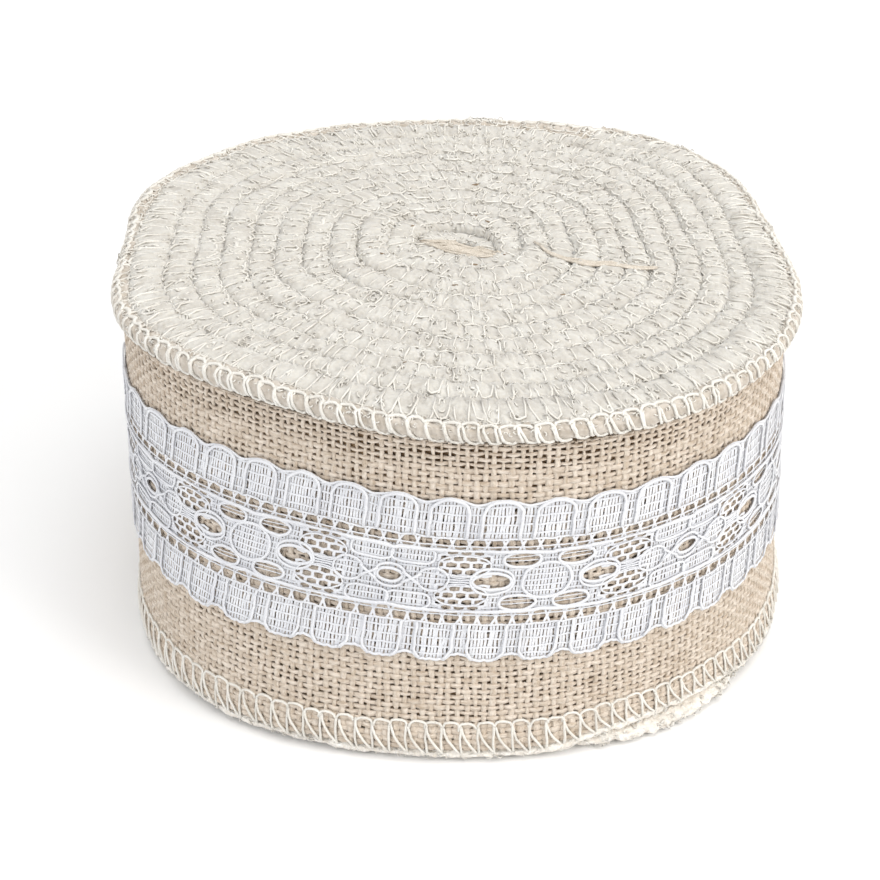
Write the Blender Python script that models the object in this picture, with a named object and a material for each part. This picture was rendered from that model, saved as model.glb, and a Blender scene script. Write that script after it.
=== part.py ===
"""A roll of burlap ribbon with a lace trim sewn along its middle, standing on its end.

The ribbon is wound on itself without a core. Both edges are overlocked, so they are thicker
than the cloth and stand out as two rims, with the cloth drawn in between them. The roll was
wound by hand: its plan is off-round, its upper end leans a little over its lower end, and
the free end of the ribbon makes a low step up its back.
"""
import math
from collections import namedtuple

import bmesh
import bpy
from mathutils import Vector

# Ribbon and roll
RIBBON_WIDTH = 0.060        # also the height of the standing roll
TURNS = 13                  # whole turns of the winding, counted along one radius
FOOT_RADIUS = 0.0570        # mean radius of the cloth near the lower end
CREST_RADIUS = 0.0560       # mean radius of the cloth near the upper end
TAIL_ANGLE = math.radians(62.0)     # where the free end lies, at the back
CLOTH_STEP = 0.0015         # how far the free end stands off the turn below it
HEM_STEP = 0.0031           # the same at the two thick edges
COLUMNS = 72                # divisions of one turn

# End face: a spiral of thick edges with grooves between them
CORE_SHIFT = Vector((0.0024, 0.0050, 0.0))     # the winding starts off the middle
CORE_RADIUS = 0.0030
GROOVE_DEPTH = 0.0013
CREST_WAVE = 0.0004         # how unevenly the turns stand
WAVE_TURNS = 2.7            # turns from one high stretch of edge to the next
WAVE_DRIFT = 1.7            # how much that differs round each turn, in radians
CORE_DEPTH = 0.0020         # the first fold lies a little lower
CORE_TURNS = 0.9            # and the turns round it less and less so
SHOULDER_TURNS = 0.125      # part of a turn in which the last groove rises to the shoulder

# Lace trim
LACE_FOOT = 0.0196          # mean height of its lower edge
LACE_HEAD = 0.0461          # mean height of its upper edge
LACE_THICKNESS = 0.0010
LACE_GAP = 0.00045
SCALLOPS = 45
SCALLOP_COLUMNS = 5
SCALLOP_RISE = 0.0006       # half the depth of the scalloped edge
LOBE_ROUNDNESS = 0.7        # below 1 the lobes are fuller than a half wave
LACE_ROWS = 4
TAIL_MARGIN = math.radians(0.9)     # the lace stops this far from the free end's step

# Places where the plan stands out from, or falls short of, its mean radius.
Bump = namedtuple("Bump", "angle out spread")
FOOT_BUMPS = (
    Bump(-124, 0.0018, 24),
    Bump(-62, 0.0022, 34),
    Bump(2, -0.0028, 28),
    Bump(180, -0.0050, 26),
)
CREST_BUMPS = (
    Bump(-120, -0.0040, 30),
    Bump(-62, 0.0030, 34),
    Bump(8, -0.0052, 24),
    Bump(46, 0.0008, 18),
    Bump(92, -0.0018, 20),
    Bump(142, 0.0014, 26),
    Bump(178, -0.0040, 20),
)

# The side from the flat foot up to the outer shoulder of the upper rim. "out" is how far
# each level stands out from the drawn-in cloth; "hem" is 1 on the overlocked edges.
Level = namedtuple("Level", "height out hem")
SIDE_LEVELS = (
    Level(0.0000, -0.0020, 1.0),
    Level(0.0008, 0.0004, 1.0),
    Level(0.0024, 0.0015, 1.0),
    Level(0.0050, 0.0009, 0.7),
    Level(0.0085, 0.0000, 0.0),
    Level(0.0150, 0.0000, 0.0),
    Level(0.0240, 0.0000, 0.0),
    Level(0.0330, 0.0000, 0.0),
    Level(0.0420, 0.0000, 0.0),
    Level(0.0500, 0.0000, 0.0),
    Level(0.0555, 0.0003, 0.3),
    Level(0.0567, 0.0019, 1.0),
    Level(0.0582, 0.0024, 1.0),
)


def bumped(radius, bumps, angle):
    """A plan radius with its bumps added, at an angle in radians."""
    for bump in bumps:
        away = (math.degrees(angle) - bump.angle + 180.0) % 360.0 - 180.0
        radius += bump.out * math.exp(-(away / bump.spread) ** 2)
    return radius


def cloth_radius(angle, height):
    """The drawn-in cloth of the outer turn: the foot's plan blended into the crest's."""
    share = height / RIBBON_WIDTH
    share = share * share * (3.0 - 2.0 * share)
    foot = bumped(FOOT_RADIUS, FOOT_BUMPS, angle)
    crest = bumped(CREST_RADIUS, CREST_BUMPS, angle)
    return foot + (crest - foot) * share


def side_radius(progress, height, out, hem):
    """Radius of the outer turn; progress runs 0 to 1 along it, up to the free end."""
    angle = TAIL_ANGLE + 2.0 * math.pi * progress
    step = CLOTH_STEP + (HEM_STEP - CLOTH_STEP) * hem
    return cloth_radius(angle, height) + out + step * (progress - 0.5)


def plan_centre():
    """Middle of the widest plan, so that the part's box is centred on its origin."""
    proud = LACE_GAP + LACE_THICKNESS
    widest = (
        SIDE_LEVELS[2],
        Level(LACE_FOOT, proud, 0.0),
        Level(LACE_HEAD, proud, 0.0),
        SIDE_LEVELS[-1],
    )
    xs = []
    ys = []
    for level in widest:
        for column in range(COLUMNS + 1):
            progress = column / COLUMNS
            angle = TAIL_ANGLE + 2.0 * math.pi * progress
            radius = side_radius(progress, level.height, level.out, level.hem)
            xs.append(radius * math.cos(angle))
            ys.append(radius * math.sin(angle))
    return Vector(((min(xs) + max(xs)) / 2.0, (min(ys) + max(ys)) / 2.0, 0.0))


CENTRE = plan_centre()


def place(angle, radius, height):
    """A point of the roll in the part's own frame."""
    point = Vector((radius * math.cos(angle), radius * math.sin(angle), height))
    return point - CENTRE


def winding_point(turn, height):
    """A point on the end face, at a number of turns from the core (TURNS at the rim)."""
    angle = TAIL_ANGLE + 2.0 * math.pi * turn
    level = SIDE_LEVELS[-1]
    rim = cloth_radius(angle, level.height) + level.out + HEM_STEP / 2.0
    last = rim - HEM_STEP       # one turn in from the free end
    inner_turns = TURNS - 1
    if turn > inner_turns:
        radius = last + (rim - last) * (turn - inner_turns)
    else:
        radius = CORE_RADIUS + (last - CORE_RADIUS) * turn / inner_turns
    shift = CORE_SHIFT * (1.0 - radius / rim)
    return place(angle, radius, height) + shift


def crest_height(turn):
    """The top of a wound edge, which wanders a little from turn to turn."""
    drift = WAVE_DRIFT * math.sin(2.0 * math.pi * turn)
    wave = 0.5 + 0.5 * math.sin(2.0 * math.pi * turn / WAVE_TURNS + drift)
    sink = CORE_DEPTH * math.exp(-(turn / CORE_TURNS) ** 2)
    return RIBBON_WIDTH - CREST_WAVE * wave - sink


def fabric_material(name, colour, roughness):
    material = bpy.data.materials.new(name)
    material.use_nodes = True
    shader = material.node_tree.nodes["Principled BSDF"]
    shader.inputs["Base Color"].default_value = (*colour, 1.0)
    shader.inputs["Roughness"].default_value = roughness
    shader.inputs["Metallic"].default_value = 0.0
    return material


def finish(name, bm, material):
    """Turn the faces outward and store the mesh as a named object."""
    bmesh.ops.recalc_face_normals(bm, faces=bm.faces)
    mesh = bpy.data.meshes.new(name)
    bm.to_mesh(mesh)
    bm.free()
    mesh.materials.append(material)
    piece = bpy.data.objects.new(name, mesh)
    bpy.context.scene.collection.objects.link(piece)
    return piece


def make_roll():
    """One solid: flat foot, side of the outer turn, and the wound end face on top."""
    bm = bmesh.new()
    side = []
    for level in SIDE_LEVELS[:-1]:
        ring = []
        for column in range(COLUMNS + 1):
            progress = column / COLUMNS
            radius = side_radius(progress, level.height, level.out, level.hem)
            angle = TAIL_ANGLE + 2.0 * math.pi * progress
            ring.append(bm.verts.new(place(angle, radius, level.height)))
        side.append(ring)

    # Grooves and crests follow the winding; the last groove line is the rim's shoulder.
    grooves = []
    for index in range(TURNS * COLUMNS + 1):
        turn = index / COLUMNS
        height = crest_height(turn) - GROOVE_DEPTH
        blend = max(0.0, turn - (TURNS - 1)) / SHOULDER_TURNS
        height += (SIDE_LEVELS[-1].height - height) * min(1.0, blend)
        grooves.append(bm.verts.new(winding_point(turn, height)))
    crests = []
    for index in range((TURNS - 1) * COLUMNS + 1):
        turn = index / COLUMNS
        inner = winding_point(turn, 0.0)
        outer = winding_point(turn + 1.0, 0.0)
        middle = (inner + outer) / 2.0
        middle.z = crest_height(turn + 0.5)
        crests.append(bm.verts.new(middle))
    for index in range((TURNS - 1) * COLUMNS):
        far = index + COLUMNS
        bm.faces.new((grooves[index], grooves[index + 1], crests[index + 1], crests[index]))
        bm.faces.new((crests[index], crests[index + 1], grooves[far + 1], grooves[far]))
    side.append(grooves[(TURNS - 1) * COLUMNS:])

    for lower, upper in zip(side, side[1:]):
        for column in range(COLUMNS):
            bm.faces.new((lower[column], lower[column + 1], upper[column + 1], upper[column]))

    # The flat foot, the cut end of the ribbon at the back, and the core of the winding.
    bm.faces.new(side[0])
    tail_wall = [ring[-1] for ring in side]
    tail_wall.append(crests[-1])
    tail_wall += [ring[0] for ring in reversed(side)]
    bm.faces.new(tail_wall)
    bm.faces.new(grooves[:COLUMNS + 1] + crests[:1])
    bmesh.ops.triangulate(bm, faces=bm.faces, ngon_method="EAR_CLIP")
    return finish("burlap_roll", bm, fabric_material("burlap", (0.73, 0.60, 0.42), 0.92))


def scallop(progress):
    """Rounded lobes with shallow hollows between them, from -1 to 1."""
    phase = progress * SCALLOPS
    return 2.0 * abs(math.sin(math.pi * phase)) ** LOBE_ROUNDNESS - 1.0


def make_lace():
    """One band on the outer turn, open at the back, with scalloped edges."""
    bm = bmesh.new()
    columns = SCALLOPS * SCALLOP_COLUMNS
    margin = TAIL_MARGIN / (2.0 * math.pi)
    sections = []
    for column in range(columns + 1):
        progress = margin + (1.0 - 2.0 * margin) * column / columns
        angle = TAIL_ANGLE + 2.0 * math.pi * progress
        lobe = SCALLOP_RISE * scallop(column / columns)
        low = LACE_FOOT - lobe
        high = LACE_HEAD + lobe
        inner = []
        outer = []
        for row in range(LACE_ROWS + 1):
            height = low + (high - low) * row / LACE_ROWS
            radius = side_radius(progress, height, LACE_GAP, 0.0)
            inner.append(bm.verts.new(place(angle, radius, height)))
            outer.append(bm.verts.new(place(angle, radius + LACE_THICKNESS, height)))
        sections.append(inner + outer[::-1])
    for near, far in zip(sections, sections[1:]):
        for index in range(len(near)):
            following = (index + 1) % len(near)
            bm.faces.new((near[index], near[following], far[following], far[index]))
    bm.faces.new(sections[0])
    bm.faces.new(sections[-1])
    return finish("lace_trim", bm, fabric_material("lace", (0.80, 0.82, 0.86), 0.80))


for old in list(bpy.data.objects):
    bpy.data.objects.remove(old, do_unlink=True)
make_roll()
make_lace()
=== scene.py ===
"""A roll of burlap ribbon with a lace trim, standing on its end on a pale studio floor.

The ribbon is 60 mm wide and wound about thirteen times on itself. Everything that lies on the
outer turn is laid out flat first, as length along the ribbon, height and how far it stands
out, and is then wrapped onto the roll.
"""
import math
from collections import namedtuple

import bpy
import numpy as np
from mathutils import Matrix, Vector
from mathutils.bvhtree import BVHTree


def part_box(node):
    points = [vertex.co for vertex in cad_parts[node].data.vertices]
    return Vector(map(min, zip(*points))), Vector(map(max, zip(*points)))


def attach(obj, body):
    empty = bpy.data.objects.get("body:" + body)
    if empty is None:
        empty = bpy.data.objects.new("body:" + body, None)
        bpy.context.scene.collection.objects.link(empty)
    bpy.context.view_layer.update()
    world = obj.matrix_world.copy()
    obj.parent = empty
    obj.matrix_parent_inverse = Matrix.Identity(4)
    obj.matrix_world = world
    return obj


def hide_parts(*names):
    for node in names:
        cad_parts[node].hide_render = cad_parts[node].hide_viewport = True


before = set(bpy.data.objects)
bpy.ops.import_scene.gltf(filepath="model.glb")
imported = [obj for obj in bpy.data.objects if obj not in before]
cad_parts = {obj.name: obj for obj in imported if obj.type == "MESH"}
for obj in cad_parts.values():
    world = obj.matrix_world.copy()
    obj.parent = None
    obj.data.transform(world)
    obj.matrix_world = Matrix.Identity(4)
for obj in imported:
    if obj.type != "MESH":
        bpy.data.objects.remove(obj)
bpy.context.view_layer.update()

# ---------------- studio
# A pale floor, a wide overhead light, a softer light from the right and a weak one from the
# left, all large, so that the shadows under the rim and the foot are soft.
ROLL_LOW, ROLL_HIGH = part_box("burlap_roll")
VIEW_DISTANCE = 0.450
VIEW_ELEVATION = math.radians(29.5)
VIEW_AIM = Vector((-0.0029, 0.0015, 0.4 * ROLL_HIGH.z))
LENS = 108.5
FLOOR_SIZE = 8.0
WALL_LIGHT = 0.62
Lamp = namedtuple("Lamp", "name place size power tint")
LAMPS = (
    Lamp("overhead light", (0.10, -0.10, 1.30), 1.10, 9.0, (1.0, 0.99, 0.97)),
    Lamp("right light", (1.00, -0.60, 0.70), 0.80, 10.5, (1.0, 0.98, 0.95)),
    Lamp("left light", (-1.00, -0.80, 0.55), 0.80, 5.2, (0.95, 0.97, 1.0)),
)

bpy.ops.object.select_all(action="DESELECT")
bpy.ops.object.camera_add(
    location=VIEW_AIM
    + VIEW_DISTANCE * Vector((0.0, -math.cos(VIEW_ELEVATION), math.sin(VIEW_ELEVATION))),
    rotation=(math.pi / 2.0 - VIEW_ELEVATION, 0.0, 0.0),
)
camera = bpy.context.object
camera.name = "camera"
camera.data.lens = LENS
bpy.context.scene.camera = camera
bpy.context.scene.view_settings.view_transform = "Standard"


def add_node(nodes, kind, values=()):
    """A new shader node with values set on its own sockets."""
    node = nodes.new("ShaderNode" + kind)
    for socket, value in dict(values).items():
        node.inputs[socket].default_value = value
    return node


bpy.ops.mesh.primitive_plane_add(size=FLOOR_SIZE, location=(0.0, 0.0, ROLL_LOW.z))
floor = bpy.context.object
floor.name = "studio floor"
floor_paint = bpy.data.materials.new("pale studio paper")
floor_paint.use_nodes = True
paper, paper_links = floor_paint.node_tree.nodes, floor_paint.node_tree.links
grain = add_node(paper, "TexNoise", {"Scale": 3.0})
shade = add_node(paper, "ValToRGB")
shade.color_ramp.elements[0].color = (0.90, 0.90, 0.90, 1.0)
shade.color_ramp.elements[1].color = (0.93, 0.93, 0.93, 1.0)
paper_links.new(grain.outputs["Fac"], shade.inputs["Fac"])
paper_links.new(shade.outputs["Color"], paper["Principled BSDF"].inputs["Base Color"])
paper["Principled BSDF"].inputs["Roughness"].default_value = 0.9
floor.data.materials.append(floor_paint)

for lamp in LAMPS:
    bpy.ops.object.light_add(type="AREA", location=lamp.place)
    light = bpy.context.object
    light.name = lamp.name
    light.data.size = lamp.size
    light.data.energy = lamp.power
    light.data.color = lamp.tint
    light.rotation_euler = (-Vector(lamp.place)).to_track_quat("-Z", "Y").to_euler()

world = bpy.data.worlds.new("studio walls")
world.use_nodes = True
walls = world.node_tree.nodes["Background"].inputs
walls["Color"].default_value = (1.0, 1.0, 1.0, 1.0)
walls["Strength"].default_value = WALL_LIGHT
bpy.context.scene.world = world

# ---------------- turns under the outer one
# The wound cloth that shows only as darkness between the threads of the outer turn. Its plan
# is off-round, drawn in between the two thick edges, and steps up where the ribbon ends.
RIBBON_WIDTH = ROLL_HIGH.z - ROLL_LOW.z
TURNS = 13
FOOT_RADIUS = 0.0570
CREST_RADIUS = 0.0560
TAIL_ANGLE = math.radians(62.0)
CLOTH_STEP = 0.0015
HEM_STEP = 0.0031
CORE_SHIFT = np.array((0.0024, 0.0050, 0.0))
CORE_RADIUS = 0.0030
Bump = namedtuple("Bump", "angle out spread")
FOOT_BUMPS = (
    Bump(-124, 0.0018, 24),
    Bump(-62, 0.0022, 34),
    Bump(2, -0.0028, 28),
    Bump(180, -0.0050, 26),
)
CREST_BUMPS = (
    Bump(-120, -0.0040, 30),
    Bump(-62, 0.0030, 34),
    Bump(8, -0.0052, 24),
    Bump(46, 0.0008, 18),
    Bump(92, -0.0018, 20),
    Bump(142, 0.0014, 26),
    Bump(178, -0.0040, 20),
)
Level = namedtuple("Level", "height out hem")
SIDE_LEVELS = (
    Level(0.0000, -0.0028, 1.0),
    Level(0.0008, -0.0006, 1.0),
    Level(0.0024, 0.0004, 1.0),
    Level(0.0050, 0.0004, 0.7),
    Level(0.0085, 0.0000, 0.0),
    Level(0.0500, 0.0000, 0.0),
    Level(0.0555, 0.0003, 0.3),
    Level(0.0567, 0.0019, 1.0),
    Level(0.0582, 0.0024, 1.0),
)
RIM_LEVEL = SIDE_LEVELS[-1]
WIDEST_LEVELS = (
    Level(0.0024, 0.0015, 1.0),
    Level(0.0196, 0.00145, 0.0),
    Level(0.0461, 0.00145, 0.0),
    RIM_LEVEL,
)
LEVEL_HEIGHTS, LEVEL_OUTS, LEVEL_HEMS = zip(*SIDE_LEVELS)
BACKING_HEIGHTS = (0.0016, 0.0030, 0.0060, 0.0200, 0.0400, 0.0550, 0.0572)
BACKING_DEPTH = 0.00062  # how far the darkness lies behind the outer turn
BACKING_FOOT_DEPTH = 0.0020
BACKING_TOP_DEPTH = 0.0030
BACKING_COLUMNS = 360
TURN_MARKS = 721  # points at which the outer turn is measured
HEM_LIFT = 0.0026  # the outer hem does not quite touch down at the lower right
LIFT_ANGLE = math.radians(-55.0)
LIFT_SPREAD = math.radians(17.0)
LIFT_HEIGHT = 0.0130  # above this the cloth lies as it would anyway


def bumped(radius, bumps, angle):
    """A plan radius with its bumps added, at angles in radians."""
    radius = np.full(np.shape(angle), radius)
    for bump in bumps:
        away = (np.degrees(angle) - bump.angle + 180.0) % 360.0 - 180.0
        radius = radius + bump.out * np.exp(-((away / bump.spread) ** 2))
    return radius


def cloth_radius(angle, height):
    """The drawn-in cloth of the outer turn: the foot's plan blended into the crest's."""
    share = height / RIBBON_WIDTH
    share = share * share * (3.0 - 2.0 * share)
    foot = bumped(FOOT_RADIUS, FOOT_BUMPS, angle)
    crest = bumped(CREST_RADIUS, CREST_BUMPS, angle)
    return foot + (crest - foot) * share


def around(progress, height, out, hem):
    """Points on the outer turn, before the roll is centred on its box."""
    angle = TAIL_ANGLE + 2.0 * math.pi * progress
    step = CLOTH_STEP + (HEM_STEP - CLOTH_STEP) * hem
    radius = cloth_radius(angle, height) + out + step * (progress - 0.5)
    height = np.broadcast_to(height, np.shape(radius))
    return np.stack((radius * np.cos(angle), radius * np.sin(angle), height), axis=-1)


turn_shares = np.linspace(0.0, 1.0, TURN_MARKS)
widest = np.concatenate([around(turn_shares, l.height, l.out, l.hem) for l in WIDEST_LEVELS])
CENTRE = (widest.min(axis=0) + widest.max(axis=0)) / 2.0
CENTRE[2] = 0.0
middle_line = around(turn_shares, RIBBON_WIDTH / 2.0, 0.0, 0.0)
steps = np.linalg.norm(np.diff(middle_line, axis=0), axis=1)
turn_lengths = np.concatenate(([0.0], np.cumsum(steps)))
ROUND = turn_lengths[-1]  # length of ribbon in the outer turn


def hem_lift(progress):
    """How far the lower hem of the outer turn stands off the floor."""
    away = (TAIL_ANGLE + 2.0 * math.pi * progress - LIFT_ANGLE + math.pi) % (2.0 * math.pi)
    return HEM_LIFT * np.exp(-(((away - math.pi) / LIFT_SPREAD) ** 4))


def wrap(flat):
    """Flat points (length, height, out) wrapped onto the outer turn."""
    length, height, out = flat[..., 0], flat[..., 1], flat[..., 2]
    progress = np.interp(length, turn_lengths, turn_shares)
    progress += (length - np.clip(length, 0.0, ROUND)) / ROUND
    level_out = np.interp(height, LEVEL_HEIGHTS, LEVEL_OUTS)
    hem = np.interp(height, LEVEL_HEIGHTS, LEVEL_HEMS)
    height = height + hem_lift(progress) * np.clip(1.0 - height / LIFT_HEIGHT, 0.0, 1.0)
    return around(progress, height, level_out + out, hem) - CENTRE


def yarn_group():
    """Colour and height of spun yarn: soft patches, fine fibres and small knots over them, with
    painted shade in the hollows between the fibres and knots.
    """
    group = bpy.data.node_groups.new("spun yarn surface", "ShaderNodeTree")
    for name, way, kind in (
        ("Vector", "INPUT", "Vector"),
        ("Pale", "INPUT", "Color"),
        ("Deep", "INPUT", "Color"),
        ("Patch Scale", "INPUT", "Float"),
        ("Fibre Scale", "INPUT", "Float"),
        ("Knots", "INPUT", "Float"),
        ("Color", "OUTPUT", "Color"),
        ("Height", "OUTPUT", "Float"),
    ):
        group.interface.new_socket(name, in_out=way, socket_type="NodeSocket" + kind)
    nodes, links = group.nodes, group.links
    given = nodes.new("NodeGroupInput")
    result = nodes.new("NodeGroupOutput")
    patch = add_node(nodes, "TexNoise", {"Detail": 3.0})
    fibre = add_node(nodes, "TexNoise", {"Detail": 3.0, "Roughness": 0.65})
    knot = add_node(nodes, "TexVoronoi")
    knot.feature = "SMOOTH_F1"
    for noise, scale in ((patch, "Patch Scale"), (fibre, "Fibre Scale"), (knot, "Fibre Scale")):
        links.new(given.outputs["Vector"], noise.inputs["Vector"])
        links.new(given.outputs[scale], noise.inputs["Scale"])
    dome = add_node(nodes, "MapRange", {"From Max": 0.9, "To Min": 0.75, "To Max": 0.20})
    links.new(knot.outputs["Distance"], dome.inputs["Value"])
    height = add_node(nodes, "Mix")
    links.new(given.outputs["Knots"], height.inputs["Factor"])
    links.new(fibre.outputs["Fac"], height.inputs["A"])
    links.new(dome.outputs["Result"], height.inputs["B"])
    # The tone follows the height as well as the random patches, so the hollows between fibres and
    # knots take the Deep colour as painted shade.
    blend = add_node(nodes, "Mix", {"Factor": 0.45})
    links.new(patch.outputs["Fac"], blend.inputs["A"])
    links.new(height.outputs["Result"], blend.inputs["B"])
    spread = add_node(nodes, "MapRange", {"From Min": 0.34, "From Max": 0.60})
    links.new(blend.outputs["Result"], spread.inputs["Value"])
    tint = add_node(nodes, "Mix")
    tint.data_type = "RGBA"
    links.new(spread.outputs["Result"], tint.inputs["Factor"])
    links.new(given.outputs["Deep"], tint.inputs["A"])
    links.new(given.outputs["Pale"], tint.inputs["B"])
    links.new(tint.outputs["Result"], result.inputs["Color"])
    links.new(height.outputs["Result"], result.inputs["Height"])
    return group


YARN = yarn_group()


def linear(colour):
    """A colour given as it looks, 0 to 255, in the linear values that a shader takes."""
    shares = (value / 255.0 for value in colour)
    return (*((s / 12.92 if s <= 0.04045 else ((s + 0.055) / 1.055) ** 2.4) for s in shares), 1.0)


def yarn_material(
    name, pale, deep, patch, fibre, relief,
    roughness=0.95, sheen=0.2, stretch=(1, 1, 1), knots=0.0, soft=0.0,
):
    """A matte yarn or cloth; patch and fibre are the sizes of its patches and fibres.

    relief is the depth of its fibres, stretch how many times longer they are along each axis,
    knots how knobbly the yarn is, soft how much light passes into its fibres and out again.
    """
    material = bpy.data.materials.new(name)
    material.use_nodes = True
    nodes, links = material.node_tree.nodes, material.node_tree.links
    shader = nodes["Principled BSDF"]
    for socket, value in (
        ("Roughness", roughness),
        ("Specular IOR Level", 0.25),
        ("Sheen Weight", sheen),
        ("Sheen Roughness", 0.5),
        ("Subsurface Weight", soft),
        ("Subsurface Radius", (1.0, 0.95, 0.85)),
        ("Subsurface Scale", 0.0012),
    ):
        shader.inputs[socket].default_value = value
    spot = add_node(nodes, "TexCoord")
    pull = add_node(nodes, "Mapping", {"Scale": [1.0 / times for times in stretch]})
    yarn = nodes.new("ShaderNodeGroup")
    yarn.node_tree = YARN
    for socket, value in (
        ("Pale", linear(pale)),
        ("Deep", linear(deep)),
        ("Patch Scale", 1.0 / patch),
        ("Fibre Scale", 1.0 / fibre),
        ("Knots", knots),
    ):
        yarn.inputs[socket].default_value = value
    bump = add_node(nodes, "Bump", {"Strength": 1.0, "Distance": relief})
    links.new(spot.outputs["Object"], pull.inputs["Vector"])
    links.new(pull.outputs["Vector"], yarn.inputs["Vector"])
    links.new(yarn.outputs["Color"], shader.inputs["Base Color"])
    links.new(yarn.outputs["Height"], bump.inputs["Height"])
    links.new(bump.outputs["Normal"], shader.inputs["Normal"])
    return material


def add_piece(name, shape, material, smooth=True):
    """A named mesh piece made of (points, faces), riding on the roll."""
    points, faces = shape
    mesh = bpy.data.meshes.new(name)
    mesh.from_pydata(points.reshape(-1, 3).tolist(), [], faces)
    mesh.materials.append(material)
    if smooth:
        mesh.shade_smooth()
    piece = bpy.data.objects.new(name, mesh)
    bpy.context.scene.collection.objects.link(piece)
    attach(piece, "root")
    return piece


def grid_faces(rows, columns, closed_rows=False, closed_columns=False):
    """Quads between neighbours of a grid of points stored row by row."""
    row = np.arange(rows if closed_rows else rows - 1)
    column = np.arange(columns if closed_columns else columns - 1)
    row, column = np.meshgrid(row, column, indexing="ij")
    next_row = (row + 1) % rows
    next_column = (column + 1) % columns
    quads = (
        row * columns + column,
        row * columns + next_column,
        next_row * columns + next_column,
        next_row * columns + column,
    )
    return np.stack(quads, axis=-1).reshape(-1, 4)


def end_caps(count, sides, start=0):
    """The two end faces of a tube of a number of points, sides to a ring, from point start."""
    end = start + count
    return [list(range(start, start + sides))[::-1], list(range(end - sides, end))]


flat = np.zeros((len(BACKING_HEIGHTS), BACKING_COLUMNS, 3))
flat[..., 0] = np.linspace(0.0, ROUND, BACKING_COLUMNS)
flat[..., 1] = np.array(BACKING_HEIGHTS)[:, None]
flat[..., 2] = -BACKING_DEPTH
flat[-1, :, 2] = -BACKING_TOP_DEPTH
flat[0, :, 2] = -BACKING_FOOT_DEPTH
faces = grid_faces(len(BACKING_HEIGHTS), BACKING_COLUMNS, closed_columns=True).tolist()
faces += end_caps(len(BACKING_HEIGHTS) * BACKING_COLUMNS, BACKING_COLUMNS)
inner_jute = yarn_material(
    "jute in shade", (172, 146, 117), (124, 100, 75), 0.004, 0.0006, 0.0003, sheen=0.0
)
inner_turns = add_piece("inner_turns", (wrap(flat), faces), inner_jute)
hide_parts("burlap_roll")

# ---------------- burlap of the outer turn
# A plain weave of single jute yarns, soft and uneven, thinner under the rim so that more painted
# shade shows between them there. Cross threads run up the roll, long threads round it, each over and
# under its neighbours in turn.
CROSS_THREADS = 264
CROSS_PITCH = ROUND / CROSS_THREADS
LONG_PITCH = 0.0010
LONG_LOW = 3  # first and last long thread, counted in pitches from the foot
LONG_HIGH = 56
LACE_COVER = (20, 44)  # long threads that lie behind the lace are drawn more simply
CROSS_WIDTH = 0.00052
LONG_WIDTH = 0.00044
HEM_HEIGHT = 0.0072  # below this the overlock packs the threads together
HEM_PACKING = 1.34
RIM_SHADE = 0.0515  # above this the threads are made thin so that more painted shade shows between them, as shadow under the rim
RIM_THINNING = 0.74
THREAD_DEPTH = 0.00030
WEAVE_RISE = 0.00020
CROSS_LEAN = 0.0006  # how far a cross thread's head may stand aside of its foot
CROSS_DRIFT = 0.00020
LONG_DRIFT = 0.00015
CROSS_SLUBS = 0.36  # how much thicker and thinner the yarn gets along its length
LONG_SLUBS = 0.38
JUTE_PALE = (227, 215, 201)
JUTE_DEEP = (187, 169, 148)


def wander(draws, count, shares, knots, reach):
    """Smooth random drift for each of a number of threads, at shares of their length."""
    drift = draws.uniform(-reach, reach, (count, knots + 1))
    place = np.clip(np.asarray(shares), 0.0, 0.9999) * knots
    knot = place.astype(int)
    ease = place - knot
    ease = ease * ease * (3.0 - 2.0 * ease)
    return drift[:, knot] * (1.0 - ease) + drift[:, knot + 1] * ease


def drawn(height):
    """How wide a thread is at a height: packed out by the hem, and thin under the rim so that more
    painted shade shows there.
    """
    packed = np.where(height < HEM_HEIGHT, HEM_PACKING, 1.0)
    return packed * np.where(height > RIM_SHADE, RIM_THINNING, 1.0)


def sweep(paths, width, depth, sides, closed=False, phase=0.5):
    """Closed tubes along a batch of flat paths of equal count: points and faces.

    width and depth are half sizes across the path, in the cloth's plane and out of it.
    """
    paths = np.asarray(paths, float)
    count, stations = paths.shape[:2]
    if closed:
        along = np.roll(paths, -1, axis=1) - np.roll(paths, 1, axis=1)
    else:
        along = np.gradient(paths, axis=1)
    side = np.stack((-along[..., 1], along[..., 0], np.zeros_like(along[..., 0])), axis=-1)
    size = np.linalg.norm(side, axis=-1, keepdims=True)
    side = np.where(size > 1e-9, side / np.maximum(size, 1e-9), (1.0, 0.0, 0.0))
    width = np.broadcast_to(width, (count, stations))
    depth = np.broadcast_to(depth, (count, stations))
    turn = 2.0 * math.pi * (np.arange(sides) + phase) / sides
    points = paths[:, :, None, :] + (
        side[:, :, None, :] * (np.cos(turn)[:, None] * width[:, :, None, None])
    )
    points[..., 2] += np.sin(turn) * depth[:, :, None]
    one = grid_faces(stations, sides, closed_rows=closed, closed_columns=True)
    each = stations * sides
    faces = (one[None] + np.arange(count)[:, None, None] * each).reshape(-1, 4).tolist()
    if not closed:
        for index in range(count):
            faces += end_caps(each, sides, index * each)
    return points.reshape(-1, 3), faces


def joined(parts):
    """Several (points, faces) as one."""
    points = []
    faces = []
    start = 0
    for part_points, part_faces in parts:
        points.append(part_points)
        faces += [[index + start for index in face] for face in part_faces]
        start += len(part_points)
    return np.concatenate(points), faces


def wrapped(shape):
    """Flat (points, faces) wrapped onto the outer turn."""
    points, faces = shape
    return wrap(points), faces


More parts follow.
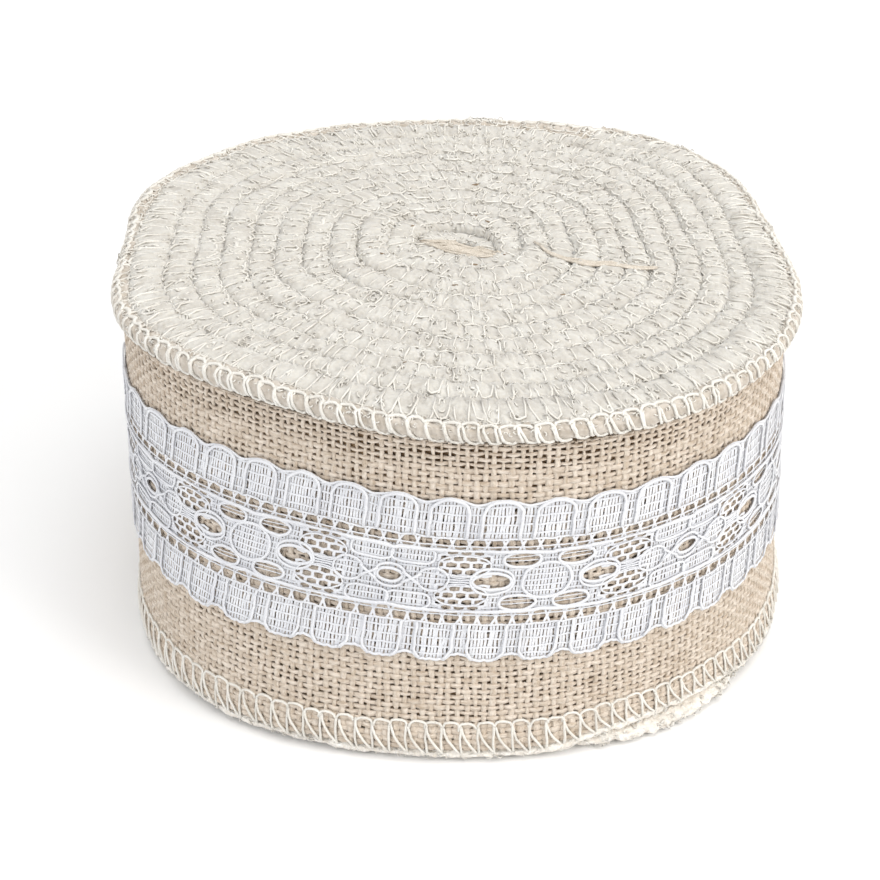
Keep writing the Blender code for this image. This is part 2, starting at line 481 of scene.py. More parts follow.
draws = np.random.default_rng(11)
cover_low, cover_high = LACE_COVER
below = np.arange(LONG_LOW - 0.5, cover_low, 0.5)
behind = np.arange(cover_low, cover_high, 1.0)
above = np.arange(cover_high, LONG_HIGH + 0.75, 0.5)
picks = np.concatenate((below, behind, above))
cross_index = np.arange(CROSS_THREADS)[:, None]
over = np.cos(math.pi * (picks[None] + cross_index))
shares = (picks - picks[0]) / (picks[-1] - picks[0])
lean = wander(draws, 1, (cross_index[:, 0] + 0.5) / CROSS_THREADS, 16, CROSS_LEAN)[0][:, None]
paths = np.zeros((CROSS_THREADS, len(picks), 3))
paths[..., 0] = (cross_index + 0.5) * CROSS_PITCH + lean * (shares - 0.5)
paths[..., 0] += wander(draws, CROSS_THREADS, shares, 14, CROSS_DRIFT)
paths[..., 1] = picks * LONG_PITCH
paths[..., 2] = WEAVE_RISE * over
width = CROSS_WIDTH * (1.0 + wander(draws, CROSS_THREADS, shares, 40, CROSS_SLUBS))
width = width * (1.0 + 0.08 * over) * draws.uniform(0.84, 1.16, (CROSS_THREADS, 1))
threads = sweep(paths, width * drawn(picks * LONG_PITCH), THREAD_DEPTH, 4)
upright_jute, level_jute = (
    yarn_material(name, JUTE_PALE, JUTE_DEEP, 0.0008, 0.00026, 0.00026, 0.95, 0.15, stretch)
    for name, stretch in (("upright jute yarn", (1, 1, 4)), ("level jute yarn", (4, 4, 1)))
)
add_piece("burlap_cross_threads", wrapped(threads), upright_jute)

long_parts = []
for pick in range(LONG_LOW, LONG_HIGH + 1):
    covered = cover_low < pick < cover_high
    ends = np.arange(0.0, CROSS_THREADS, 1.0 if covered else 0.5)
    place = ends / CROSS_THREADS
    paths = np.zeros((1, len(ends), 3))
    paths[0, :, 0] = (ends + 0.5) * CROSS_PITCH
    paths[0, :, 1] = pick * LONG_PITCH + wander(draws, 1, place, 130, LONG_DRIFT)[0]
    paths[0, :, 2] = -WEAVE_RISE * np.cos(math.pi * (ends + pick))
    width = LONG_WIDTH * (1.0 + wander(draws, 1, place, 240, LONG_SLUBS)) * draws.uniform(0.88, 1.12)
    long_parts.append(sweep(paths, width * drawn(pick * LONG_PITCH), THREAD_DEPTH, 4))
add_piece("burlap_long_threads", wrapped(joined(long_parts)), level_jute)

# The ribbon was cut across at its free end, so the long threads end there in a short fringe
# that falls onto the turn below.
FRINGE = 0.0021
FRINGE_START = 0.0012  # how far inside the cut each fringe yarn begins
FRINGE_POINTS = 6
FRINGE_TAPER = np.linspace(0.85, 0.45, FRINGE_POINTS)
picks = np.arange(LONG_LOW, LONG_HIGH + 1, 0.5)
reach = FRINGE * draws.uniform(0.45, 1.0, len(picks))
share = np.linspace(0.0, 1.0, FRINGE_POINTS)
paths = np.zeros((len(picks), FRINGE_POINTS, 3))
paths[..., 0] = ROUND - FRINGE_START + (FRINGE_START + reach[:, None]) * share
paths[..., 1] = picks[:, None] * LONG_PITCH + draws.normal(0.0, 0.0003, (len(picks), 1)) * share
paths[..., 2] = 0.00010 - 0.95 * CLOTH_STEP * np.clip(2.2 * share - 1.1, 0.0, 1.0)
threads = sweep(paths, LONG_WIDTH * FRINGE_TAPER, 0.8 * THREAD_DEPTH, 5)
add_piece("end_fringe", wrapped(threads), level_jute)

# ---------------- overlocked edges
# Both cut edges are overlocked with soft spun yarn, which makes a thick lumpy bead. Wound up,
# the beads of all the turns lie side by side as one spiral on each end of the roll.
INNER_TURNS = TURNS - 1
STITCH = ROUND / 134.0  # one overlock stitch along the ribbon
CORE_TURN = -0.6  # the first fold starts this far inside the first whole turn
CORE_FOLD = math.radians(-35.0)  # the first turns are flattened along this direction
CORE_REACH = 0.0095
CORE_SQUEEZE = 0.45
CORE_DEPTH = 0.0016
CORE_SUNK = 0.9  # in turns, how far out from the core the sinking reaches
OVERLAP = 0.21  # how far, in widths, the beads press into one another
RIM_SQUEEZE = 0.55  # the last turn's bead is narrower, and the one inside it wider
RIM_LOWER = 0.20
RIM_INWARD = 0.24  # how much less it stands out than its turn's full width
GAP_OPEN = 0.12  # how far the beads part where the winding is loose
# Where the winding is loose: turns from the core, and how open the gap is there.
LOOSE_AT = (0.9, 1.1, 3.24, 3.32, 3.52, 3.62)
LOOSE_OPEN = (0.5, 0.0, 0.0, 1.0, 0.9, 0.0)
PIT_ROUND = math.radians(135.0)  # where the needle pulls it in most
PIT_SHALLOW = 0.6  # how deep it is pulled in there, and how much of that elsewhere
PIT_DEEP = 0.8
FULLNESS = 0.72  # below 1 the bead's section is fuller than an ellipse
TURN_BLEND = 20.0  # a change from one turn to the next takes a turn over this
WIND_MARKS = 6001  # points at which the spiral is measured
FINE_LUMPS = 640  # knots of the bead's unevenness along the spiral
BROAD_LUMPS = 150
RISE_KNOTS = 130
SECOND_TURN_OUT = 0.95  # under the lifted hem the next turn stands out, for each unit of lift
# Rings of each bead: how far apart, how far they are roughened, and at what angles round it.
CREST_STEP, RIM_STEP, FOOT_STEP = 0.00054, 0.00045, 0.0012
CREST_FLUFF, RIM_FLUFF, FOOT_FLUFF = 0.00014, 0.00013, 0.00012
CREST_SIDES = (-75, -40, -12, 12, 32, 50, 68, 86, 104, 122, 140, 158, 178, 215)
FOOT_SIDES = (-60, -15, 20, 55, 90, 125, 180, 240)
# level, half height and middle height of the bead, which way it faces, how much it swells
# between its stitches, and along the spiral its turns, lengths, unevenness and rise.
Winding = namedtuple("Winding", "level half middle upward lump turns lengths uneven rise")


def groove(turn, level):
    """The line between two turns, at a number of turns from the core."""
    angle = TAIL_ANGLE + 2.0 * math.pi * turn
    rim = cloth_radius(angle, level.height) + level.out + HEM_STEP / 2.0
    last = rim - HEM_STEP
    inner = CORE_RADIUS + (last - CORE_RADIUS) * turn / INNER_TURNS
    outer = last + (rim - last) * (turn - INNER_TURNS)
    radius = np.where(turn > INNER_TURNS, outer, inner)
    along = radius * np.cos(angle - CORE_FOLD)
    across = radius * np.sin(angle - CORE_FOLD)
    across = across * (1.0 - CORE_SQUEEZE * np.exp(-((radius / CORE_REACH) ** 2)))
    east = along * math.cos(CORE_FOLD) - across * math.sin(CORE_FOLD)
    north = along * math.sin(CORE_FOLD) + across * math.cos(CORE_FOLD)
    flat = np.stack((east, north, 0.0 * angle), axis=-1)
    return flat - CENTRE + CORE_SHIFT * (1.0 - radius / rim)[..., None]


def wind(level, half, middle, upward, lump, uneven, rise, draws):
    """The spiral of an edge: where its bead runs, and how it swells and rises."""
    turns = np.linspace(CORE_TURN, INNER_TURNS, WIND_MARKS)
    line = (groove(turns, level) + groove(turns + 1.0, level)) / 2.0
    steps = np.linalg.norm(np.diff(line, axis=0), axis=1)
    lengths = np.concatenate(([0.0], np.cumsum(steps)))
    shares = lengths / lengths[-1]
    fine = wander(draws, 1, shares, FINE_LUMPS, uneven)[0]
    uneven = fine + wander(draws, 1, shares, BROAD_LUMPS, uneven)[0]
    rise = wander(draws, 1, shares, RISE_KNOTS, rise)[0]
    rise = rise - CORE_DEPTH * np.exp(-((np.maximum(turns, 0.0) / CORE_SUNK) ** 2))
    return Winding(level, half, middle, upward, lump, turns, lengths, uneven, rise)


def bead_point(winding, length, turn_round, lift):
    """Points round a wound bead. turn_round is 0 on its outer side and a quarter turn at its crest."""
    turn = np.interp(length, winding.lengths, winding.turns)
    inside = groove(turn, winding.level)
    outside = groove(turn + 1.0, winding.level)
    across = outside - inside
    reach = np.linalg.norm(across, axis=-1)
    pit = PIT_SHALLOW + PIT_DEEP * np.maximum(0.0, np.cos(turn_round - PIT_ROUND))
    swell = 1.0 - winding.lump * pit * np.cos(2.0 * math.pi * length / STITCH)
    swell = swell + np.interp(length, winding.lengths, winding.uneven)
    level, plumb = np.cos(turn_round), np.sin(turn_round)
    sideways = np.sign(level) * np.abs(level) ** FULLNESS
    free = np.clip((turn - INNER_TURNS + 1.0) * TURN_BLEND, 0.0, 1.0)
    second = np.clip((turn - INNER_TURNS + 2.0) * TURN_BLEND, 0.0, 1.0) * (1.0 - free)
    outward = 1.0 + RIM_SQUEEZE * second - RIM_INWARD * free
    sideways = sideways * np.where(level < 0.0, 1.0 - RIM_SQUEEZE * free, outward)
    sideways = sideways * (0.5 * reach * (0.5 + (0.5 + OVERLAP) * swell) + lift)
    if winding.upward > 0.0:
        gap = np.interp(np.where(level < 0.0, turn, turn + 1.0), LOOSE_AT, LOOSE_OPEN)
        sideways = sideways * (1.0 - GAP_OPEN * gap)
    half = winding.half * (1.0 - RIM_LOWER * free)
    upwards = np.sign(plumb) * np.abs(plumb) ** FULLNESS * (half * swell + lift)
    point = (inside + outside) / 2.0 + across * (sideways / reach)[..., None]
    rise = np.interp(length, winding.lengths, winding.rise)
    point[..., 2] = winding.middle + winding.upward * (upwards + rise)
    if winding.upward < 0.0:
        point[..., 2] += free * hem_lift(turn)
        point += across * (second * SECOND_TURN_OUT * hem_lift(turn) / reach)[..., None]
        point[..., 2] = np.maximum(point[..., 2], 0.0)
    return point


def bead_mesh(winding, start, end, step, rounds, fluff, draws):
    """A run of the bead as one closed tube, with a fluffy unevenness."""
    turn_round = np.radians(rounds)
    sides = len(turn_round)
    stations = np.arange(start, end, step)
    length = np.repeat(stations, sides)
    lift = draws.normal(0.0, fluff, len(length))
    points = bead_point(winding, length, np.tile(turn_round, len(stations)), lift)
    faces = grid_faces(len(stations), sides, closed_columns=True).tolist()
    faces += end_caps(len(points), sides)
    if winding.upward > 0.0:
        faces = [face[::-1] for face in faces]
    return points, faces


draws = np.random.default_rng(5)
crest_winding = wind(
    RIM_LEVEL, half=0.0018, middle=RIBBON_WIDTH - 0.0021, upward=1.0,
    lump=0.04, uneven=0.09, rise=0.00030, draws=draws,
)
foot_winding = wind(
    Level(0.0024, 0.0008, 1.0), half=0.0012, middle=0.0015, upward=-1.0,
    lump=0.13, uneven=0.14, rise=0.0, draws=draws,
)
serging = yarn_material(
    "serging yarn", (205, 202, 195), (184, 179, 171), 0.004, 0.0006, 0.00032, knots=0.8, soft=0.5
)
rim_serging = yarn_material(
    "serging yarn over jute", (202, 194, 184), (170, 159, 145), 0.003, 0.0007, 0.0004,
    knots=0.7, soft=0.4,
)
# The foot's bead is the same serging yarn as the crest's, painted much lighter: painted light against
# the shade near the floor.
foot_serging = yarn_material(
    "serging yarn, painted lighter", (250, 245, 237), (220, 212, 201), 0.0015, 0.0006, 0.0009,
    knots=0.9, soft=0.2,
)
wound = crest_winding.lengths[-1]
foot_wound = foot_winding.lengths[-1]
rim_start = np.interp(INNER_TURNS - 1.0, crest_winding.turns, crest_winding.lengths)
bead = bead_mesh(crest_winding, 0.0, rim_start, CREST_STEP, CREST_SIDES, CREST_FLUFF, draws)
crest_edge = add_piece("crest_edge", bead, serging)
bead = bead_mesh(crest_winding, rim_start, wound, RIM_STEP, CREST_SIDES, RIM_FLUFF, draws)
rim_edge = add_piece("rim_edge", bead, rim_serging)
bead = bead_mesh(foot_winding, 0.0, foot_wound, FOOT_STEP, FOOT_SIDES, FOOT_FLUFF, draws)
add_piece("foot_edge", bead, foot_serging)

# ---------------- overlock stitches
# Each stitch is a rounded loop along the needle line, an upright leg over the bead and a
# slanting one to the foot of the next stitch, in off-white sewing thread.
THREAD_HALF = 0.00021
BEAD_RADIUS = 0.0019
# Each knot of a thread: how far along in stitches, what share of the way from the needle line
# to the far side of the bead, and how far off the bead in the row's own lifts.
LOOP = (
    (0.00, 0.02, 0.2), (0.10, -0.10, 0.8), (0.42, -0.17, 1.0), (0.80, -0.14, 1.0),
    (1.00, 0.00, 0.5),
)
SMALL_LEG = ((0.00, 0.00, 0.6), (0.08, 0.22, 1.2), (0.05, 0.50, 1.0), (0.00, 0.75, -0.5))
RIM_ARCH = (
    (0.00, 0.10, 0.6), (0.10, -0.03, 1.2), (0.34, -0.12, 1.5), (0.66, -0.12, 1.5),
    (0.90, -0.03, 1.2), (1.00, 0.10, 0.6),
)
RIM_UPRIGHT = (
    (0.00, 0.00, 0.8), (-0.03, 0.26, 1.3), (0.02, 0.52, 1.3), (0.14, 0.78, 1.1), (0.26, 1.00, 0.0),
)
RIM_CURL = (
    (0.05, 0.04, 0.8), (0.10, 0.34, 1.5), (0.24, 0.68, 1.5), (0.48, 0.94, 1.2), (0.78, 1.06, 0.9),
    (1.02, 0.92, 0.2),
)
RING_LOOP = (
    (0.02, -0.05, 0.2), (0.05, 0.45, 0.9), (0.22, 0.86, 1.0), (0.50, 1.00, 1.0), (0.78, 0.86, 1.0),
    (0.95, 0.45, 0.9), (0.98, -0.05, 0.2),
)
# Where the needle line runs round the bead (0 is its outer side, 90 degrees its crest),
# where the legs end, how thick the thread is and how far it stands off the bead.
Row = namedtuple("Row", "needle last half lift")
GROOVE_ROW = Row(math.radians(112.0), math.radians(20.0), 0.00015, 0.00007)
RING_ROW = Row(math.radians(112.0), math.radians(26.0), 0.00017, 0.00010)
RIM_ROW = Row(math.radians(66.0), math.radians(-36.0), 0.00028, 0.00012)
RING_TURNS = 2.0  # the broad stitches show on this many turns inside the rim


def stitch_paths(starts, knots, draws, shake):
    """The same knots at each start, each stitch a little different: along, share and lift."""
    table = np.array(knots)
    paths = np.repeat(table[None], len(starts), axis=0)
    drift = draws.normal(0.0, 1.0, (len(starts), 1, 3)) * np.array(shake)
    paths = paths + drift + draws.normal(0.0, 0.35, paths.shape) * np.array(shake)
    paths[..., 0] = starts[:, None] + paths[..., 0] * STITCH
    return paths


def onto_bead(winding, shape):
    """Flat (length, way round, lift) points and their faces, laid on a wound bead."""
    points, faces = shape
    if winding.upward < 0.0:
        faces = [face[::-1] for face in faces]
    return bead_point(winding, points[:, 0], points[:, 1] / BEAD_RADIUS, points[:, 2]), faces


def wound_stitches(winding, starts, row, shapes, shake, draws):
    """Stitches laid over a wound bead."""
    parts = []
    for knots in shapes:
        paths = stitch_paths(starts, knots, draws, shake)
        turn_round = row.needle + (row.last - row.needle) * paths[..., 1]
        flat = np.stack((paths[..., 0], turn_round * BEAD_RADIUS, paths[..., 2] * row.lift), axis=-1)
        parts.append(onto_bead(winding, sweep(flat, row.half, row.half, 4)))
    return joined(parts)


sewing_thread = yarn_material(
    "sewing thread", (232, 229, 222), (212, 207, 198), 0.004, 0.0003, 0.0001, roughness=0.85
)
ring_start = np.interp(INNER_TURNS - 1.0 - RING_TURNS, crest_winding.turns, crest_winding.lengths)
starts = np.concatenate((np.arange(0.0, ring_start, STITCH), np.arange(rim_start, wound, STITCH)))
inner_loops = wound_stitches(
    crest_winding, starts, GROOVE_ROW, (LOOP, SMALL_LEG), (0.16, 0.12, 0.8), draws
)
starts = np.arange(ring_start, rim_start, STITCH)
ring_loops = wound_stitches(
    crest_winding, starts, RING_ROW, (RING_LOOP,), (0.12, 0.12, 0.5), draws
)
add_piece("crest_stitches", joined((inner_loops, ring_loops)), sewing_thread)
starts = np.arange(rim_start, wound - STITCH, STITCH)
rim_loops = wound_stitches(
    crest_winding, starts, RIM_ROW, (RIM_ARCH, RIM_UPRIGHT, RIM_CURL), (0.07, 0.05, 0.3), draws
)
add_piece("rim_stitches", rim_loops, sewing_thread)

# Short curls of the spun thread that stand off the beads and make them woolly, more of them
# and longer where the yarn has been teased out into a tuft on the rim.
Tuft = namedtuple("Tuft", "angle spread count reach")
TUFTS = (
    Tuft(-179.0, 0.0010, 34, 0.0020),
    Tuft(84.0, 0.0028, 80, 0.0022),
    Tuft(46.0, 0.0014, 40, 0.0018),
    Tuft(10.0, 0.0011, 34, 0.0019),
)
CURLS = 5700
RIM_CURLS = 800
FOOT_CURLS = 1000
CURL_REACH = 0.00075
CURL_HALF = 0.00012
CURL_RISE = np.array((-0.00003, 0.00018, 0.00020, -0.00003))  # of its four points
CURL_MARGIN = 0.002  # no curl starts this near the cut end


def curls(winding, at, angle, reach, lift, draws):
    """Short bent fibres on a wound bead, each starting where given and heading anywhere."""
    count = len(at)
    heading = draws.uniform(0.0, 2.0 * math.pi, count)
    bend = draws.uniform(0.5, 1.3, count) * draws.choice((-1.0, 1.0), count)
    paths = np.zeros((count, 4, 3))
    paths[:, 0, 0] = at
    paths[:, 0, 1] = angle * BEAD_RADIUS
    for station in range(1, 4):
        turned = heading + bend * (station - 1.0)
        paths[:, station, 0] = paths[:, station - 1, 0] + 0.4 * reach * np.cos(turned)
        paths[:, station, 1] = paths[:, station - 1, 1] + 0.4 * reach * np.sin(turned)
    paths[..., 2] = lift[:, None] * CURL_RISE
    return onto_bead(winding, sweep(paths, CURL_HALF, CURL_HALF, 3))


curl_at = draws.uniform(0.01, wound - CURL_MARGIN, CURLS)
curl_at = np.append(curl_at, draws.uniform(rim_start, wound - CURL_MARGIN, RIM_CURLS))
curl_round = np.radians(draws.uniform(15.0, 165.0, len(curl_at)))
curl_reach = CURL_REACH * draws.uniform(0.5, 1.3, len(curl_at))
curl_lift = np.ones(len(curl_at))
for tuft in TUFTS:
    rim_turn = INNER_TURNS - 1.0 + (tuft.angle - math.degrees(TAIL_ANGLE)) % 360.0 / 360.0
    middle = np.interp(rim_turn, crest_winding.turns, crest_winding.lengths)
    curl_at = np.append(curl_at, draws.normal(middle, 0.5 * tuft.spread, tuft.count))
    curl_round = np.append(curl_round, np.radians(draws.uniform(-10.0, 70.0, tuft.count)))
    curl_reach = np.append(curl_reach, tuft.reach * draws.uniform(0.4, 1.0, tuft.count))
    curl_lift = np.append(curl_lift, draws.uniform(1.0, 3.6, tuft.count))
fibres = curls(crest_winding, curl_at, curl_round, curl_reach, curl_lift, draws)
add_piece("crest_curls", fibres, sewing_thread)
curl_at = foot_wound - CURL_MARGIN - draws.uniform(0.0, 1.6 * ROUND, FOOT_CURLS)
curl_round = np.radians(draws.uniform(-50.0, 75.0, FOOT_CURLS))
curl_reach = CURL_REACH * draws.uniform(0.6, 1.5, FOOT_CURLS)
fibres = curls(foot_winding, curl_at, curl_round, curl_reach, np.ones(FOOT_CURLS), draws)
add_piece("foot_curls", fibres, sewing_thread)

FOOT_NEEDLE = 0.0071  # height of the needle line on the outer turn
FOOT_END = 0.0016
FOOT_LIFT = 0.00042
FOOT_LOOP = (
    (0.00, 0.16, 0.7), (0.02, 0.05, 0.9), (0.14, -0.04, 1.1), (0.36, -0.07, 1.2),
    (0.66, -0.07, 1.2), (0.90, -0.02, 1.1), (1.00, 0.08, 1.0),
)
FOOT_UPRIGHT = (
    (0.00, 0.02, 0.8), (0.00, 0.20, 1.1), (-0.02, 0.42, 1.1), (0.00, 0.66, 1.1), (0.03, 0.88, 1.2),
    (0.04, 1.02, 0.6),
)
FOOT_SLANT = (
    (0.04, 0.08, 0.9), (0.10, 0.24, 1.2), (0.26, 0.44, 1.4), (0.52, 0.64, 1.5), (0.82, 0.84, 1.4),
    (1.00, 1.00, 0.9),
)
starts = np.arange(0.0, ROUND - STITCH, STITCH)
FOOT_SHAKE = (0.045, 0.02, 0.10)
parts = []
for knots in (FOOT_LOOP, FOOT_UPRIGHT, FOOT_SLANT):
    paths = stitch_paths(starts, knots, draws, FOOT_SHAKE)
    height = FOOT_NEEDLE + (FOOT_END - FOOT_NEEDLE) * paths[..., 1]
    flat = np.stack((paths[..., 0], height, paths[..., 2] * FOOT_LIFT), axis=-1)
    parts.append(sweep(flat, THREAD_HALF, THREAD_HALF, 5))
add_piece("foot_stitches", wrapped(joined(parts)), sewing_thread)

# ---------------- loose jute on the end face
# A frayed fold of burlap shows in the core, a stray strand of jute lies over the turns beside
# it, and dark flecks lie on the beads: some are bits of jute hull caught in the yarn, the rest
# painted shade for small openings between the beads.
# Places are millimetres east and north of the roll's middle, with half the width there.
FOLD = ((-6.0, 7.2, 0.2), (-3.6, 6.2, 0.9), (-0.8, 5.0, 1.6), (2.4, 3.4, 2.0), (5.2, 1.9, 1.8),
        (6.6, 1.2, 0.8))
STRAND = ((12.6, 3.9, 0.2), (14.6, 0.8, 0.3), (17.6, -2.0, 0.5), (20.4, -3.8, 0.8),
          (24.0, -4.3, 0.7), (28.0, -5.2, 0.5), (32.0, -5.4, 0.2))
MM = 0.001
FRAY_YARN = 0.00023
FRAY_POINTS = 17
FRAY_LIFT = 0.00012  # how far a loose yarn lies above the beads
FLECK_LIFT = 0.00002
FLECK_DEPTH = 0.00008
# Flecks: east, north, length and heading in degrees.
FLECKS = ((-5.7, 7.2, 0.50, -20), (-2.3, 4.3, 0.40, -30), (-7.5, 11.5, 0.46, 50),
          (2.6, -2.4, 0.50, -10), (4.0, -3.8, 0.60, -25), (7.7, 1.4, 0.52, 70),
          (2.8, 15.0, 0.46, 10), (5.0, 12.3, 0.40, -40), (3.1, 26.9, 0.62, 25), (5.3, 2.3, 0.36, 0),
          (0.6, 4.4, 0.40, -15), (-14.3, 1.8, 0.50, -50), (-12.2, -1.0, 0.50, -45),
          (-0.5, -11.5, 0.40, 0), (11.8, 8.0, 0.36, 15), (16.5, -15.0, 0.34, 5),
          (-8.0, -38.0, 0.34, 10), (17.0, -36.5, 0.34, -12))


def resting(points, above):
    """Points given as (east, north) in millimetres, laid on the wound beads."""
    placed = []
    for east, north in points:
        spot = Vector((east * MM, north * MM, 1.05 * RIBBON_WIDTH))
        below = beads.ray_cast(spot, Vector((0.0, 0.0, -1.0)))[0]
        beside = beads.find_nearest(spot)[0]
        height = beside.z if below is None else below.z
        placed.append((spot.x, spot.y, height + above))
    return placed


corners = []
bead_faces = []
for mesh in (crest_edge.data, rim_edge.data):
    bead_faces += [[index + len(corners) for index in face.vertices] for face in mesh.polygons]
    corners += [vertex.co for vertex in mesh.vertices]
beads = BVHTree.FromPolygons(corners, bead_faces)
loose_jute = yarn_material(
    "loose jute", (226, 217, 204), (198, 187, 171), 0.0012, 0.0003, 0.0003, sheen=0.1
)
# The flecks' dark colour is partly jute hull and partly painted shade, standing for small openings
# between the beads that show dark.
husk_and_shade = yarn_material(
    "jute husk", (150, 130, 107), (106, 89, 71), 0.0006, 0.0003, 0.0002, sheen=0.0
)
yarns = []
for strip, count in ((FOLD, 10), (STRAND, 5)):
    marks = np.linspace(0.0, 1.0, FRAY_POINTS)
    east, north, wide = (np.interp(marks, np.linspace(0.0, 1.0, len(strip)), v) for v in zip(*strip))
    for yarn in range(count):
        aside = (2.0 * (yarn + 0.5) / count - 1.0) * wide
        aside = aside + wander(draws, 1, marks, 5, 0.22)[0]
        start, end = draws.integers(0, 3), FRAY_POINTS - draws.integers(0, 3)
        run = list(zip(east + 0.45 * aside, north + 0.89 * aside))[start:end]
        path = np.array(resting(run, FRAY_LIFT))
        path[1:-1, 2] = np.maximum(path[1:-1, 2], (path[:-2, 2] + path[2:, 2]) / 2.0)
        yarns.append(sweep(path[None], FRAY_YARN * draws.uniform(0.7, 1.3), FRAY_YARN, 5))
add_piece("stray_jute", joined(yarns), loose_jute)
specks = []
for east, north, size, turned in FLECKS:
    heading = np.array((math.cos(math.radians(turned)), math.sin(math.radians(turned))))
    path = np.zeros((4, 3))
    path[:, :2] = np.array((-1.3, -0.4, 0.5, 1.2))[:, None] * heading * size * MM
    path = path + resting([(east, north)], FLECK_LIFT)[0]
    wide = np.array((0.2, 0.9, 1.0, 0.3)) * 0.55 * size * MM
    specks.append(sweep(path[None], wide, FLECK_DEPTH, 6))
add_piece("hull_and_shade_flecks", joined(specks), husk_and_shade)

# ---------------- lace trim
# Machine-made galloon lace, sewn flat along the middle of the ribbon: two scalloped borders of
# close net, two ladders of slanting bars, and between them a band of ringed openings, net-filled
# circles and fans. The chart is in millimetres from the lace's middle line.
LACE_MIDDLE = 0.0328
LACE_OUT = 0.00055  # the net lies this far off the burlap's middle
SCALLOPS = 45
SCALLOP = ROUND / MM / SCALLOPS
REPEAT = 6.0 * SCALLOP  # from one flower to the next
HALF = REPEAT / 2.0
FLOWER_AT = 215.0  # the flower that faces forward, along the ribbon
LACE_END = 1.2  # the lace stops this far from the cut ends of the turn
SLANT_OF_LACE = 0.115  # the lace is sewn on a little askew
CROWN = 13.75  # top of a rounded scallop
VALLEY = 12.85
TOP_BASE = 7.15  # lower edge of the upper border
BAND = 5.2  # the middle band reaches this far up and down
LADDER = 5.85  # where the ladders begin, beside the band
FOOT_BASE = -7.5  # upper edge of the lower border
FOOT_CROWN = -13.75
FOOT_VALLEY = -12.6
ARCH_HALF = 2.85
ARCH_SHOULDER = 11.4
ARCH_POWER = 2.3  # above 2 the crowns are flatter than an ellipse
NET_PITCH = 0.52
NET_HALF = 0.00022
CORD_HALF = 0.00031
# Each ring: centre and half sizes in millimetres, how square it is, how thick its cord is,
# how far outside it a second cord runs (0 for none) and what fills it.
Ring = namedtuple("Ring", "across up half_width half_height power cord apron filled")
SIDES_OF_BAND = (-1.0, 1.0)


def both_ways(ring):
    """The same ring mirrored left to right, and top to bottom."""
    ups = (ring.up, -ring.up) if ring.up else (0.0,)
    acrosses = (ring.across, -ring.across) if ring.across else (0.0,)
    return [ring._replace(across=a, up=u) for a in acrosses for u in ups]


EYE = 8.15  # openings beside the flower
FAN = 12.5
SMALL_EYE = 2.0  # half the width of the half-way opening
CIRCLE = 6.5  # circles, from the half-way opening
RING_CHART = (
    Ring(0.0, 0.0, 3.70, 3.00, 2.2, 1.0, 0.0, "net"),  # flower
    Ring(EYE, 0.0, 2.90, 1.42, 2.0, 1.0, 0.62, "open"),  # opening beside the flower
    Ring(4.05, 3.70, 2.75, 1.30, 2.2, 1.0, 0.0, "open"),  # four petals round the flower
    Ring(FAN, 2.95, 4.00, 2.15, 3.0, 0.0, 0.0, "coarse"),  # ground of the fans
    Ring(HALF, 0.0, SMALL_EYE, 1.08, 2.0, 1.0, 0.70, "open"),  # small opening half way
    Ring(HALF - CIRCLE, 0.0, 2.35, 1.95, 2.0, 0.75, 0.0, "net"),  # circles beside it
    Ring(HALF - 3.15, 3.85, 3.30, 1.35, 3.4, 0.75, 0.0, "net"),  # net panels above and below
)
repeat_rings = []
for ring in RING_CHART:
    if ring.across <= FAN:
        repeat_rings += both_ways(ring)
    else:
        for copy in both_ways(ring._replace(across=ring.across - HALF)):
            repeat_rings.append(copy._replace(across=copy.across + HALF))
first_repeat = -math.ceil(FLOWER_AT / REPEAT)
last_repeat = math.ceil((ROUND / MM - FLOWER_AT) / REPEAT)
rings = []
for repeat in range(first_repeat, last_repeat + 1):
    for ring in repeat_rings:
        across = FLOWER_AT + repeat * REPEAT + ring.across
        if LACE_END + ring.half_width < across < ROUND / MM - LACE_END - ring.half_width:
            rings.append(ring._replace(across=across))


def lace_points(chart):
    """Chart points (across, up, out in thread halves) as flat ribbon coordinates."""
    wobble = 0.05 * np.sin(2.3 * chart[..., 1] + 1.1 * chart[..., 0])
    wobble = wobble + 0.04 * np.sin(5.1 * chart[..., 1] - 3.7 * chart[..., 0])
    length = (chart[..., 0] + wobble + SLANT_OF_LACE * chart[..., 1]) * MM
    ripple = 0.00012 * np.sin(length / 0.0090) + 0.00008 * np.sin(length / 0.0047 + 1.0)
    height = LACE_MIDDLE + (chart[..., 1] - 0.7 * wobble) * MM + ripple
    out = LACE_OUT + chart[..., 2] * NET_HALF + 0.6 * ripple
    return np.stack((length, height, out), axis=-1)


def scallop_phase(across):
    """Signed distance from the middle of the nearest scallop."""
    return (across - FLOWER_AT + SCALLOP / 2.0) % SCALLOP - SCALLOP / 2.0


def upper_edge(across):
    """The rounded crowns of the upper border, with shallow valleys between them."""
    away = np.abs(scallop_phase(across))
    share = np.clip(1.0 - (away / ARCH_HALF) ** ARCH_POWER, 0.0, 1.0)
    arch = ARCH_SHOULDER + (CROWN - ARCH_SHOULDER) * share ** (1.0 / ARCH_POWER)
    hollow = np.clip((away - 1.8) / (SCALLOP / 2.0 - 1.8), 0.0, 1.0)
    valley = VALLEY + (CROWN - 0.3 - VALLEY) * (1.0 - hollow) ** 1.5
    return np.where(away < 1.8, arch, np.maximum(arch, valley))


def lower_edge(across):
    """The lower border: broad flat scallops with a small notch, and hollows between them."""
    away = np.abs(scallop_phase(across))
    notch = 0.12 * np.cos(away * 2.0 * math.pi / 1.35)
    share = np.clip((away - 1.65) / (SCALLOP / 2.0 - 1.65), 0.0, 1.0)
    return FOOT_CROWN + notch + (FOOT_VALLEY - FOOT_CROWN) * np.sin(share * math.pi / 2.0)


